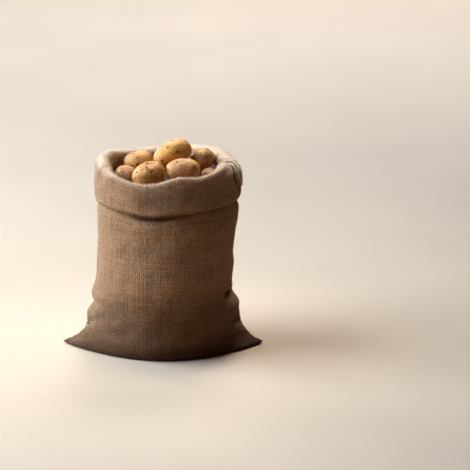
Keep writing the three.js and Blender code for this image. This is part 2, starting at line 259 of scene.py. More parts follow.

# Puckers of the rolled cloth that run in towards the mouth: turn, first and last place along it, half width
# in degrees, and height in millimetres.
PUCKERS = (
    (204, -8, 26, 2.0, 2.2),
    (190, -16, 34, 1.8, 3.2),
    (184.5, -16, 38, 1.5, 2.6),
    (177, -14, 36, 1.7, 3.0),
    (169, -12, 30, 2.0, 2.4),
    (158, -10, 26, 2.2, 1.8),
    (146, -8, 22, 2.4, 1.4),
    (7, -12, 40, 1.8, 2.4),
    (15, -12, 34, 2.0, 2.0),
    (25, -10, 28, 2.2, 1.6),
    (336, -6, 24, 2.0, 1.6),
)
PUCKER_RISE = 14.0  # millimetres over which a pucker rises, and before its last place starts to fall
PUCKER_PAST = 6.0  # millimetres by which it runs on past its last place

# Soft unevenness: height, size across and along the cloth in millimetres, and seed. The heights of the wall's
# lumps are shares of their setting, those of the cuff's waves are in millimetres.
LUMPS = ((1.1, 46, 42, 3.7), (0.45, 21, 17, 11.3))
CUFF_WAVES = ((2.6, 60, 46, 23.1), (0.9, 22, 30, 31.9))
WALL_START = (-4.0, 8.0)  # millimetres about the wall's start over which its own forms fade in
WALL_END = (-4.0, 14.0)  # the same about its end, where they fade out
ROLL_FADE = 25.0  # millimetres over which the forms of the rolled part fade in
WIDE_STEP, HIDDEN_STEP, ROLL_STEP = 3, 2, 0.8  # steps of the bottom, under the cuff and of the roll

# Strands of twine along the right-hand seam: how far their middle lies off the middle of the cloth in
# millimetres, and the places along the rolled cloth and turns that they pass.
STRANDS = (
    (2.9, (
        (4, 368), (13, 363), (22, 357.5), (31, 353.5), (42, 350), (54, 347), (62, 346.8), (74, 349),
        (88, 352),
    )),
    (2.6, ((7, 372), (20, 367), (30, 362.5), (42, 358.5), (54, 354.5), (64, 353), (76, 353), (92, 355))),
    (2.6, ((8, 375), (20, 372.5), (28, 370.5), (40, 367), (56, 362), (66, 360), (80, 358), (98, 358))),
)
STRAND_STEP = 3.0  # millimetres from one point of a strand to the next
STRAND_SWAY = (0.35, 0.31)  # degrees by which a strand sways, and radians of that a millimetre
STRAND_CLIMB = (0.3, 0.57)  # millimetres by which it rises and falls, and radians of that a millimetre

# A stitch's three points: degrees aside, millimetres up the cloth and millimetres off it.
STITCH = ((-1.6, -2.0, 0.6), (0.0, 0.0, 1.6), (1.6, 2.0, 0.6))
FIRST_STITCH = 12  # millimetres of cloth from the wall's start

# Loose fibres: first and last turn, first and last place along the cloth from where the rolled part starts,
# the side of the cloth that they stand off, and their number.
FIBRES = (
    (0, 360, 0, 60, -1, 4200),
    (195, 350, 14, 38, -1, 6000),
    (348, 372, 8, 80, -1, 900),
    (322, 350, 14, 42, -1, 900),
    (0, 360, 60, 118, -1, 2600),
    (0, 360, -366, -70, 1, 3600),
    (166, 208, -366, -70, 1, 3600),
    (166, 208, 36, 118, -1, 1600),
    (150, 215, -4, 36, -1, 2400),
    (20, 150, 0, 36, -1, 2400),
)
FIBRE_SEED = 31
FIBRE_ROOT = 0.5  # millimetres from the middle of the cloth to a fibre's root
FIBRE_LEAN = (0.1, 0.9)  # least and most that a fibre points straight off the cloth
FIBRE_STRAY = 0.55  # spread of its direction otherwise
FIBRE_LENGTH = (0.0025, 0.0075)  # metres
FIBRE_RADIUS = (0.00012, 0.00022)  # metres, at the root

# Potatoes in the order in which they lie, in millimetres and degrees: place, half sizes, turn of the long
# axis, lift and swell of its far end, and tone from yellow, 0, by way of earthy brown, 1, to darker still, 2.
# Tones above 1 are painted shade on the potatoes below and in the others' shadow, and also make them matt.
POTATOES = (
    (14, 4, 46, 38, 33, 20, 0, 0.05, 1.6),
    (-78, -46, 38, 27, 19, 120, 0, 0.05, 1.6),
    (-12, -88, 37, 28, 21, 172, 0, 0.1, 1.9),
    (62, -80, 33, 26, 27, 24, 0, 0.06, 1.6),
    (106, -14, 34, 25, 23, 84, 0, 0.08, 1.5),
    (84, 65, 36, 28, 31, 128, 0, 0.05, 1.3),
    (15, 91, 32, 26, 25, 178, 0, 0.08, 0.7),
    (-52, 82, 33, 26, 26, 30, 0, 0.07, 0.85),
    (-92, 25, 31, 25, 29, 74, 0, 0.08, 0.85),
    (-50, 16, 20, 15, 24, 80, 0, 0.05, 1.5),
    (-41, -18, 19, 15, 14, 100, 0, 0.06, 1.6),
    (-82, -42, 26, 22, 22, 160, 0, 0.06, 0.75),
    (-32, -72, 40, 30, 29, 40, 10, 0.1, 0.42),
    (47, -62, 39, 29, 27, 5, 0, 0.05, 0.58),
    (106, -31, 21, 17, 14, 75, 0, 0.05, 1.25),
    (-56, 22, 34, 26, 24, 8, 12, 0.07, 0.5),
    (90, 32, 30, 26, 24, 62, 0, 0.05, 0.65),
    (48, 62, 22, 17, 15, 110, 0, 0.06, 0.6),
    (22, 5, 48, 29, 29, 35, 16, 0.06, 0.0),
)
BLUNT = 2.35  # roundness of a potato's ends, 2 being an egg's
FIRST_ON_TOP = 10  # potatoes from this place in the table lie on top and get the finest mesh
MESH_DETAIL = (5, 6)  # subdivisions of a potato below and of one on top
HOLLOWS = (1.5, 7.3, 0.05, 0.1)  # closeness, step of the seed, depth as a share of the length, and spread
DIMPLES = (5.2, 5.1, 0.012)  # closeness, step of the seed and depth as a share of the length
POTATO_SEED = 400
LONG_POTATO = 30  # half length in millimetres from which a potato has more eyes
EYE_COUNTS = (6, 9)  # eyes of a short and of a long potato
EYE_TURN = 2.4  # radians round the potato from one eye to the next
EYE_STRAY = (0.3, 0.4)  # how far an eye strays along the potato, in places, and round it, in radians
EYE_WIDTH = (2.6, 4.2)  # half widths in millimetres
EYE_DEPTH = (0.7, 1.2)  # shares of the depth that is set
EYE_DARK = (0.5, 1.0)  # least and most dark
EYE_SHAPE = (0.6, 1.5)  # length as a share of the width, and how many times narrower its dark middle is
BROW = (0.9, 0.5, 1.3, 0.45)  # a brow's distance, half length and half width in eye widths, and its height
STEM = (6.0, 1.8, 0.7, 2.2)  # half width and depth of the stem's pit, how dark, and how much narrower that is

# The filling below: metres between layers, rows and potatoes, its middle to the right, its reach from there,
# and how far its top layer lies below the bed's top.
LAYER_STEP, ROW_STEP, PLACE_STEP = 0.046, 0.056, 0.066
BED_MIDDLE, BED_REACH, BED_INSET = 0.008, 0.118, 0.024
BED_ROWS = range(-3, 4)  # rows of a layer, and places of a row
BED_SIZES = ((28, 33), (23, 27), (20, 23.5))  # least and most of its potatoes' half sizes in millimetres
BED_TONES = (0.3, 0.9)
BED_SWELL = 0.06
BED_EYES = 0.0008  # depth of their eyes in metres
BED_DETAIL = (3, 4)  # subdivisions of a potato below and of one in the top layer
BED_SEEDS = (77, 100)  # of the layers' draws, and of the first layer's potatoes

# Soft lights: name, setting of the power, place and target in metres, size, colour, and spread in degrees.
BELLY, MIDDLE_OF_MOUTH, FLOOR_BEHIND = (0.0, 0.0, 0.24), (0.0, 0.0, 0.42), (0.4, 3.8, 0.0)
LIGHTS = (
    ("key_light", "key", (-3.75, -0.15, 3.1), BELLY, 4.2, (0.812, 0.935, 1.0), 180.0),
    ("edge_light", "edge", (0.5, 2.4, 2.9), MIDDLE_OF_MOUTH, 1.6, (1.0, 0.97, 0.9), 40.0),
    ("top_light", "top", (0.15, 0.5, 2.4), MIDDLE_OF_MOUTH, 0.9, (1.0, 0.84, 0.6), 25.0),
    ("side_light", "side", (-2.2, 2.8, 0.9), BELLY, 1.0, (1.0, 0.97, 0.92), 60.0),
    ("floor_light", "behind", (0.4, 3.8, 3.6), FLOOR_BEHIND, 3.0, (0.95, 0.98, 1.0), 90.0),
    ("fill_light", "fill", (0.6, -3.2, 1.3), BELLY, 2.4, (1.0, 0.42, 0.2), 180.0),
)
ROOM_COLOUR = (1.0, 0.6, 0.36, 1.0)
BACKDROP_COLOUR = (0.85, 0.76, 0.66, 1.0)
FLOOR_REACH = 16.0  # metres from the floor's middle to its edge

# The camera: pixel of the picture's middle, pixel of a point on the sack's axis, that point's height, metres
# in a pixel there, the camera's distance from it and reach, and sensor and focal length in millimetres.
PICTURE_MIDDLE = 235.0
AXIS_PIXEL, AXIS_HEIGHT = (163.2, 247.56), 0.23
METRES_PER_PIXEL = 0.0023
CAMERA_DISTANCE, CAMERA_REACH = 9.0, 60.0
SENSOR_WIDTH, FOCAL_LENGTH = 36.0, 300.0


def length_setting(name, description, default, least=0.0):
    """A length that a user can change."""
    return bpy.props.FloatProperty(
        name=name, description=description, default=default, min=least, unit="LENGTH"
    )


def colour_setting(name, description, default):
    """A colour that a user can change."""
    return bpy.props.FloatVectorProperty(
        name=name, description=description, default=default, size=3, min=0.0, max=1.0, subtype="COLOR"
    )


def power_setting(name, description, default):
    """A light's power that a user can change."""
    return bpy.props.FloatProperty(name=name, description=description, default=default, min=0.0, unit="POWER")


class ClothSettings(bpy.types.PropertyGroup):
    """Sizes and colours of the sacking."""

    thickness: length_setting("Thickness", "Thickness of the sacking", 0.002, 0.0005)
    columns: bpy.props.IntProperty(
        name="Columns", description="Faces round the sack, a multiple of four", default=336, min=64
    )
    wall_step: length_setting("Wall step", "Height of a row of faces on the wall", 0.0048, 0.002)
    girth: length_setting("Girth", "Width of the cloth round the sack", 1.0, 0.1)
    warp: length_setting("Warp pitch", "From one upright thread to the next", 0.0049, 0.001)
    weft: length_setting("Weft pitch", "From one crosswise thread to the next", 0.0050, 0.001)
    lump: length_setting("Lumps", "How far the potatoes press the wall out", 0.0022)
    light_thread: colour_setting("Light thread", "Colour of the palest threads", (0.473, 0.262, 0.143))
    dark_thread: colour_setting("Dark thread", "Colour of the darkest threads", (0.248, 0.1205, 0.0567))
    loose_fibre: colour_setting("Loose fibre", "Colour of the palest loose fibres", (0.92, 0.73, 0.57))


class SewingSettings(bpy.types.PropertyGroup):
    """Sizes and colour of the sewing twine."""

    twine: length_setting("Twine", "Diameter of the sewing twine", 0.0021, 0.0005)
    strand: length_setting("Strand", "Diameter of the strands along the seams", 0.0027, 0.0005)
    pitch: length_setting("Stitch pitch", "From one whip stitch to the next", 0.01125, 0.002)
    colour: colour_setting("Twine colour", "Colour of the twine", (0.98, 0.83, 0.64))


class PotatoSettings(bpy.types.PropertyGroup):
    """Colours and marks of the potatoes."""

    yellow: colour_setting("Yellow skin", "Colour of the cleanest skin", (0.71, 0.36, 0.095))
    earthy: colour_setting("Earthy skin", "Colour of the dustiest skin", (0.36, 0.15, 0.06))
    speck: colour_setting("Specks", "Colour of specks and eyes", (0.10, 0.042, 0.015))
    eye_depth: length_setting("Eye depth", "Depth of an eye", 0.0012)


class StageSettings(bpy.types.PropertyGroup):
    """Floor, light and camera."""

    floor: colour_setting("Floor", "Colour that the floor throws back on the sack", (0.319, 0.227, 0.166))
    pale: colour_setting("Pale floor", "Colour that the floor shows", (0.55, 0.445, 0.365))
    key: power_setting("Key light", "Power of the soft light on the left", 560.0)
    fill: power_setting("Fill light", "Power of the weak light in front", 3.5)
    edge: power_setting("Edge light", "Power of the soft light behind", 6.5)
    top: power_setting("Top light", "Power of the soft light above the mouth", 0.95)
    side: power_setting("Side light", "Power of the light behind on the left", 9.0)
    behind: power_setting("Floor light", "Power of the light on the floor behind", 62.0)
    room: bpy.props.FloatProperty(
        name="Room light", description="Strength of the even light of the room", default=0.008, min=0.0
    )
    elevation: bpy.props.FloatProperty(
        name="Elevation", description="How far above the horizon the camera stands", default=math.radians(16),
        subtype="ANGLE",
    )


class SackSettings(bpy.types.PropertyGroup):
    """Everything that can be set about the sack of potatoes."""

    cloth: bpy.props.PointerProperty(type=ClothSettings, name="Cloth", description="The sacking")
    sewing: bpy.props.PointerProperty(type=SewingSettings, name="Sewing", description="The twine")
    potatoes: bpy.props.PointerProperty(type=PotatoSettings, name="Potatoes", description="The filling")
    stage: bpy.props.PointerProperty(type=StageSettings, name="Stage", description="Floor, light and camera")


def rise(value, low, high):
    """Smooth step from 0 below low to 1 above high."""
    share = np.clip((np.asarray(value, float) - low) / (high - low), 0.0, 1.0)
    return share * share * (3 - 2 * share)


def bell(offset, width):
    """1 where the offset is nothing, falling off over a half width."""
    return np.exp(-((offset / width) ** 2))


def turn_from(start, turns):
    """Degrees from one turn to others, the shorter way round."""
    return (np.asarray(turns, float) - start + 540.0) % 360.0 - 180.0


def smooth_curve(start, end, leave, arrive, share):
    """A value at a share of the way from start to end, on a curve with slopes to leave and to arrive by."""
    ease = share * share * (3 - 2 * share)
    bend = leave * share * (1 - share) ** 2 - arrive * share * share * (1 - share)
    return start + (end - start) * ease + bend


def around(column, turns):
    """A column of RIM at any turns, along a smooth closed curve through its rows."""
    knots = np.array([row[0] for row in RIM], float)
    values = np.array([row[column] for row in RIM], float)
    count = len(knots)
    turns = np.mod(turns, 360.0)
    place = np.searchsorted(knots, turns, side="right") - 1

    def at(step):
        index = place + step
        return knots[index % count] + 360.0 * (index // count), values[index % count]

    (turn_before, before), (start_turn, start), (end_turn, end), (turn_after, after) = map(at, range(-1, 3))
    span = end_turn - start_turn
    leave = (end - before) / (end_turn - turn_before) * span
    arrive = (after - start) / (turn_after - start_turn) * span
    return smooth_curve(start, end, leave, arrive, (turns - start_turn) / span)


def outline(row, turns, height, inset=0.0):
    """Points of an outline at turns, in millimetres. Row holds left, right, front, back and pinch."""
    left, right, front, back, pinch = row
    across, deep = np.cos(np.radians(turns)), np.sin(np.radians(turns))
    reach = np.where(across < 0, left, right) - inset
    depth = np.where(deep < 0, front, back) - inset
    upright = height + 0.0 * across
    return np.stack([reach * across, depth * np.sign(deep) * np.abs(deep) ** pinch, upright], -1)


def column_shares(columns):
    """Shares of the girth at which the columns stand, closer together at the two seams."""
    part = np.linspace(0.0, 1.0, columns // 4, endpoint=False)
    from_seam = (1 - SEAM_CLOSENESS) * part + SEAM_CLOSENESS * part * part
    to_seam = 1 - (1 - SEAM_CLOSENESS) * (1 - part) - SEAM_CLOSENESS * (1 - part) ** 2
    quarters = (from_seam, 1 + to_seam, 2 + from_seam, 3 + to_seam, [4.0])
    return np.concatenate(quarters) / 4


def even_turns(row, columns):
    """Turns of the columns on an outline, by lengths along each quarter from a seam to a panel's middle."""
    samples = 720
    fine = np.linspace(0.0, 360.0, 4 * samples + 1)
    shares = column_shares(columns)
    steps = np.linalg.norm(np.diff(outline(row, fine, 0.0), axis=0), axis=1)
    way = np.concatenate([[0.0], np.cumsum(steps)])
    turns = []
    for quarter in range(4):
        low, high = quarter * samples, (quarter + 1) * samples
        share = (way[low : high + 1] - way[low]) / (way[high] - way[low])
        parts = shares[quarter * columns // 4 : (quarter + 1) * columns // 4] * 4 - quarter
        turns.append(np.interp(parts, share, fine[low : high + 1]))
    return np.concatenate([*turns, [360.0]])


def seam_rise(shown, turns):
    """How far the bands of the side seams lift the rolled cloth off its plain form, in millimetres."""
    total = np.zeros_like(turns)
    for turn, reach, proud in SEAMS:
        band = 1 - rise(np.abs(turn_from(turn, turns)), reach - SEAM_EDGE, reach + SEAM_EDGE)
        total += shown * proud * band
    return total


def plan_at(share):
    """The outline's row at a share of the way from the mouth to the cuff."""
    return [mouth + (cuff - mouth) * share for mouth, cuff in zip(MOUTH, CUFF)]


def roll_points(station, turns):
    """The rolled cloth at one station, in millimetres."""
    share, up, ahead, front, over, shown = station
    edge, rim = around(EDGE_HEIGHT, turns), around(RIM_HEIGHT, turns)
    lift = seam_rise(shown, turns)
    sharp = rise(-np.sin(np.radians(turns)), *SHARP)
    share = share + (ahead - share) * sharp
    up = up + (front - up) * sharp
    return outline(plan_at(share), turns, edge + (rim - edge) * up + lift * over, -lift * (1 - over))


def crease_depth(turns, heights):
    """How far the creases draw the wall in, in millimetres."""
    total = np.zeros_like(turns)
    for turn, height, run, wide, lean, depth in CREASES:
        aside = np.radians(turn_from(turn, turns)) * WALL_RADIUS
        above = heights - height
        level, climb = math.cos(math.radians(lean)), math.sin(math.radians(lean))
        along = (aside * level + above * climb) / run
        over = (above * level - aside * climb) / wide
        total += depth * np.exp(-along * along - over * over)
    return total


def way_of(rows):
    """Mean length of cloth from the first row of points to each, in millimetres."""
    steps = np.linalg.norm(np.diff(rows, axis=0), axis=2).mean(axis=1)
    return np.concatenate([[0.0], np.cumsum(steps)])


def along_rows(rows, way, places):
    """Rows of values at new places along the cloth, on smooth curves through the given rows."""
    slope = np.empty_like(rows)
    slope[1:-1] = (rows[2:] - rows[:-2]) / (way[2:] - way[:-2])[:, None, None]
    slope[0] = (rows[1] - rows[0]) / (way[1] - way[0])
    slope[-1] = (rows[-1] - rows[-2]) / (way[-1] - way[-2])
    at = np.clip(np.searchsorted(way, places, side="right") - 1, 0, len(way) - 2)
    span = (way[at + 1] - way[at])[:, None, None]
    share = (places - way[at])[:, None, None] / span
    return smooth_curve(rows[at], rows[at + 1], slope[at] * span, slope[at + 1] * span, share)


def grid_normals(points):
    """Outward directions of a grid of points that closes round the sack."""
    ring = points[:, :-1]
    along = np.roll(ring, -1, axis=1) - np.roll(ring, 1, axis=1)
    up = np.gradient(ring, axis=0)
    normal = np.cross(along, up)
    normal /= np.maximum(np.linalg.norm(normal, axis=2, keepdims=True), 1e-9)
    return np.concatenate([normal, normal[:, :1]], axis=1)


class ClothForm:
    """The sack's cloth as a grid of points, in rows from the bottom fold to the tucked edge."""

    def __init__(self, settings):
        self.settings = settings
        columns = settings.columns
        self.across = column_shares(columns) * settings.girth
        half = settings.thickness / MM / 2
        lowest = WALL[0][1:]
        turns = even_turns(lowest, columns)
        level = (turns + 360.0 - turns[::-1]) / 2  # the same in front and behind, so that the fold closes
        rows, row_turns, pinches = [], [], []

        def add(points, at, pinch):
            rows.append(points)
            row_turns.append(at)
            pinches.append(np.full(columns + 1, pinch))

        for share in BOTTOM_SHARES:
            left, right, front, back, pinch = lowest
            add(outline((left, right, front * share, back * share, pinch), level, half), level, pinch)
        for height, *row in WALL:
            at = even_turns(row, columns)
            add(outline(row, at, max(height, half)), at, row[-1])
        wall_top, top_turns = rows[-1], row_turns[-1]
        wall_rows = len(rows)
        for share in WALL_UNDER_CUFF:
            add(wall_top + (roll_points(ROLL[0], top_turns) - wall_top) * share, top_turns, 1.0)
        for station in ROLL:
            at = even_turns(plan_at(station[0]), columns)
            add(roll_points(station, at), at, 1.0)
        rows, row_turns, pinches = np.array(rows), np.array(row_turns), np.array(pinches)
        way = way_of(rows)
        self.wall_start = way[len(BOTTOM_SHARES)]
        self.wall_end = way[wall_rows - 1]
        self.roll_start = way[wall_rows + len(WALL_UNDER_CUFF)]
        self.way_end = way[-1]
        self.places = self.row_places()
        self.rolled = self.places[:, None] - self.roll_start  # places counted along the rolled cloth
        values = np.concatenate([rows, row_turns[..., None], pinches[..., None]], axis=2)
        values = along_rows(values, way, self.places)
        self.points, self.turns, self.pinch = values[..., :3], values[..., 3], values[..., 4]
        self.right, self.back = np.cos(np.radians(self.turns)), np.sin(np.radians(self.turns))
        self.crease()
        self.ripple()
        self.points[..., 2] = np.maximum(self.points[..., 2], half)
        self.normals = grid_normals(self.points)
        self.paint_light_and_shade()

    def paint_light_and_shade(self):
        """Paints a highlight on the upward-facing rim, and paints shade on the cuff's front, the wall below
        its edge and the foot.
        """
        height = self.points[..., 2]
        ahead = rise(-self.back, *FORWARD_LESS_HIGHLIGHT)
        # Painted highlight where the rolled cloth faces up, on the front rim's crest and on the ridge.
        worn = rise(-self.normals[..., 2], *UPWARD_HIGHLIGHT) * self.on_roll() * (1 - HIGHLIGHT_LOST * ahead)
        crest, wide, most = CREST
        worn = np.maximum(worn, most * ahead * bell(self.rolled - crest, wide))
        worn = worn * (1 - np.minimum(SHADE_HIDES * self.soil, 1.0))
        self.worn = np.maximum(worn, self.ridge * (1 - np.minimum(self.soil, 1.0)))
        # Painted shade on the cuff's front, where its face tilts down.
        front_shade = FRONT_SHADE * ahead * rise(self.rolled, *FRONT_SHADE_START) * (1 - rise(self.rolled, *FRONT_SHADE_END))
        # Painted shadow on the wall just under the cuff's edge and on the edge where it turns under.
        down, wide = UNDER_LINE
        below = around(EDGE_HEIGHT, self.turns) - height
        under = np.where(self.rolled < 0, bell(below - down, wide), rise(self.rolled, *TUCKED))
        dark, fading = UNDER_DARK
        under *= dark * rise(self.turns, *UNDER_LEFT) * (1 - fading * rise(self.turns, *UNDER_RIGHT))
        # Painted shade at the foot, darker towards the floor and away from the left side.
        dark, darker = FOOT_DARK
        foot = dark * (1 - rise(height, *FOOT)) + darker * (1 - rise(height, *SOLE))
        least, added = FOOT_SHARES
        foot *= least + added * rise(self.right, *FOOT_SIDE)
        for part in (front_shade, self.earth(CUFF_SHADE), under, foot):
            self.soil = np.maximum(self.soil, part)

    def along_path(self, path):
        """A table's columns at every place along the rolled cloth, its first column being such places."""
        places, *columns = zip(*path)
        return [np.interp(self.rolled, places, column) for column in columns]

    def earth(self, rows):
        """Darkness of a patch of painted shade on the rolled cloth."""
        turn, width, darkness = self.along_path(rows)
        aside = turn_from(turn, self.turns) / width
        return darkness * np.exp(-(aside**4))

    def row_places(self):
        """Places of the rows along the cloth, further apart where the cloth is hidden."""
        step = self.settings.wall_step / MM
        bottom = np.arange(0.0, self.wall_start, WIDE_STEP * step)
        wall = np.arange(self.wall_start, self.wall_end, step)
        hidden = np.arange(self.wall_end, self.roll_start, HIDDEN_STEP * step)
        count = int((self.way_end - self.roll_start) / (ROLL_STEP * step))
        return np.concatenate([bottom, wall, hidden, np.linspace(self.roll_start, self.way_end, count)])

    def on_wall(self):
        """1 on the wall, 0 on the bottom and the rolled part."""
        below = rise(self.places[:, None] - self.wall_start, *WALL_START)
        return below * (1 - rise(self.places[:, None] - self.wall_end, *WALL_END))

    def on_roll(self):
        """1 on the rolled part, 0 on the wall."""
        return rise(self.rolled, 0.0, ROLL_FADE)

    def crease(self):
        """Draws the wall in along its creases."""
        inset = crease_depth(self.turns, self.points[..., 2]) * self.on_wall()
        self.points[..., 0] -= inset * self.right
        self.points[..., 1] -= inset * np.sign(self.back) * np.abs(self.back) ** self.pinch

    def ripple(self):
        """Lumps where potatoes press on the wall, and the soft unevenness of the rolled cuff."""
        normals = grid_normals(self.points)
        lumps = self.settings.lump / MM * self.uneven(LUMPS)
        shift = lumps * self.on_wall() + self.uneven(CUFF_WAVES) * self.on_roll() + self.seam_groove()
        shift -= self.seam_folds()
        self.points += normals * shift[..., None]
        self.points[:, -1] = self.points[:, 0]

    def field(self, across, upright, seed):
        """Soft noise over the cloth that closes round the sack; across and upright are its sizes in mm."""
        ring = WALL_RADIUS / across
        rows = np.broadcast_to(self.places[:, None] / upright, self.turns.shape)
        spots = np.stack([self.right * ring, self.back * ring, rows + seed], -1)
        return np.array([noise.noise(spot) for spot in spots.reshape(-1, 3)]).reshape(self.turns.shape)

    def uneven(self, table):
        """The sum of the soft noises of a table."""
        return sum(high * self.field(across, upright, seed) for high, across, upright, seed in table)

    def seam_groove(self):
        """The sewn line down each side, with small puckers along it."""
        depth, wide = SEAM_GROOVE
        high, away, reach, pitch = SEAM_PUCKERS
        groove = np.zeros_like(self.turns)
        pucker = np.sin(self.places[:, None] * 2 * math.pi / pitch)
        for turn in SEAM_LINE:
            aside = np.radians(turn_from(turn, self.turns)) * WALL_RADIUS
            groove -= depth * bell(aside, wide)
            groove += high * pucker * bell(np.abs(aside) - away, reach)
        return groove * self.on_wall()

    def seam_folds(self):
        """How far clefts, shoulders and puckers at the side seams raise the rolled cloth's visible face. It
        also paints shade into the clefts and between the strands of the right-hand seam.
        """
        relief = np.zeros_like(self.turns)
        self.soil = np.zeros_like(self.turns)
        away, wide = SHOULDER
        for side, darkness, path in CLEFTS:
            turn, depth, shoulder, width = self.along_path(path)
            aside = turn_from(turn, self.turns)
            relief -= depth * bell(aside, width)
            # Painted shade in the cleft, darker the deeper the cleft is.
            dark = darkness * depth / DARK_DEPTH * bell(aside + side * DARK_ASIDE, width)
            self.soil = np.maximum(self.soil, dark)
            relief += shoulder * bell(aside - side * away, wide)
        # Painted shade between the strands of the right-hand seam.
        self.soil = np.maximum(self.soil, self.earth(SEAM_SHADE))
        turns, places, heights = zip(*RIDGE)
        beside = self.rolled - np.interp(self.turns, turns, places)
        ridge = np.interp(self.turns, turns, heights) * bell(beside, RIDGE_REACH)
        self.ridge = ridge / max(heights)
        relief += ridge
        for turn, first, last, wide, high in PUCKERS:
            ends = rise(self.rolled, last - PUCKER_RISE, last + PUCKER_PAST)
            shown = rise(self.rolled, first, first + PUCKER_RISE) * (1 - ends)
            relief += high * shown * bell(turn_from(turn, self.turns), wide)
        return relief

    def locate(self, turn, place, lift=0.0):
        """A point on the cloth at a turn and a place along it, and the outward direction there, in metres."""
        row = np.interp(place, self.places, np.arange(len(self.places)))
        low = min(int(row), len(self.places) - 2)
        share = row - low
        point, normal = np.zeros(3), np.zeros(3)
        for index, weight in ((low, 1 - share), (low + 1, share)):
            column = np.interp(turn % 360.0, self.turns[index], np.arange(self.turns.shape[1]))
            left = min(int(column), self.turns.shape[1] - 2)
            part = column - left
            point += weight * ((1 - part) * self.points[index, left] + part * self.points[index, left + 1])
            normal += weight * ((1 - part) * self.normals[index, left] + part * self.normals[index, left + 1])
        normal /= np.linalg.norm(normal)
        return Vector((point + normal * lift) * MM), Vector(normal)


def link_piece(name, mesh):
    """A new object of a mesh or curve, in the scene."""
    piece = bpy.data.objects.new(name, mesh)
    bpy.context.scene.collection.objects.link(piece)
    return piece


def mesh_from(bm, name, smooth=True):
    """A mesh made from a bmesh, which is then done with."""
    mesh = bpy.data.meshes.new(name)
    bm.to_mesh(mesh)
    bm.free()
    if smooth:
        mesh.shade_smooth()
    return mesh


class NodeBench:
    """Adds nodes to a material and joins them up."""

    def __init__(self, name):
        self.material = bpy.data.materials.new(name)
        self.material.use_nodes = True
        self.tree = self.material.node_tree
        self.tree.nodes.clear()
        self.shader = self.add("BsdfPrincipled")
        self.join(self.shader.outputs["BSDF"], self.add("OutputMaterial").inputs["Surface"])

    def add(self, kind, **settings):
        node = self.tree.nodes.new("ShaderNode" + kind)
        for key, value in settings.items():
            setattr(node, key, value)
        return node

    def join(self, source, target):
        """Links a socket to an input, or sets the input to a value."""
        if isinstance(source, bpy.types.NodeSocket):
            self.tree.links.new(source, target)
        else:
            target.default_value = source

    def fill(self, node, **inputs):
        """Joins inputs of a node by their names."""
        for name, source in inputs.items():
            self.join(source, node.inputs[name.replace("_", " ")])
        return node

    def set(self, **inputs):
        """Joins inputs of the shader by their names."""
        self.fill(self.shader, **inputs)

    def place(self):
        return self.add("TexCoord").outputs["Object"]

    def attribute(self, name):
        return self.add("Attribute", attribute_name=name).outputs["Fac"]

    def parts(self, vector):
        """The three numbers of a vector."""
        return self.fill(self.add("SeparateXYZ"), Vector=vector).outputs

    def feed(self, kind, values, **settings):
        """The output of a new node whose inputs are joined in their order."""
        node = self.add(kind, **settings)
        for socket, value in zip(node.inputs, values):
            self.join(value, socket)
        return node.outputs[0]

    def math(self, operation, a, b=0.0, c=0.0):
        return self.feed("Math", (a, b, c), operation=operation)

    def times(self, a, b):
        return self.math("MULTIPLY", a, b)

    def line(self, value, slope, start):
        """A start and a value times a slope."""
        return self.math("MULTIPLY_ADD", value, slope, start)

    def vary(self, value, grain, amount):
        """A value that a grain from 0 to 1 makes less or more, by half the amount at most."""
        return self.line(self.math("SUBTRACT", grain, 0.5), amount, value)

    def mix(self, share, a, b, data_type="RGBA"):
        """Mixes two colours."""
        return self.fill(self.add("Mix", data_type=data_type), Factor=share, A=a, B=b).outputs["Result"]

    def blend(self, share, a, b):
        """Mixes two numbers."""
        return self.mix(share, a, b, "FLOAT")

    def scale(self, colour, factor):
        """A colour made lighter or darker by a number."""
        return self.fill(self.add("VectorMath", operation="SCALE"), Vector=colour, Scale=factor).outputs[0]

    def stretch(self, vector, factors, start=(0.0, 0.0, 0.0)):
        """A vector or colour with each of its numbers scaled, after a start."""
        return self.feed("VectorMath", (vector, factors, start), operation="MULTIPLY_ADD")

    def grain(self, place, size, detail=2.0, roughness=0.5):
        """Noise from 0 to 1 at a place, with grains of a size in the place's own unit."""
        node = self.fill(self.add("TexNoise"), Vector=place, Scale=1.0 / size)
        return self.fill(node, Detail=detail, Roughness=roughness).outputs["Fac"]

    def window(self, value, low, high, to_low=0.0, to_high=1.0):
        """A value eased from one range to another, and held at its ends."""
        return self.feed("MapRange", (value, low, high, to_low, to_high), interpolation_type="SMOOTHSTEP")

    def bump(self, height, distance, strength=1.0):
        node = self.fill(self.add("Bump"), Height=height, Distance=distance, Strength=strength)
        self.set(Normal=node.outputs[0])


def opaque(colour, factor=1.0):
    """A setting's colour, made lighter or darker, for a socket."""
    return (colour[0] * factor, colour[1] * factor, colour[2] * factor, 1.0)


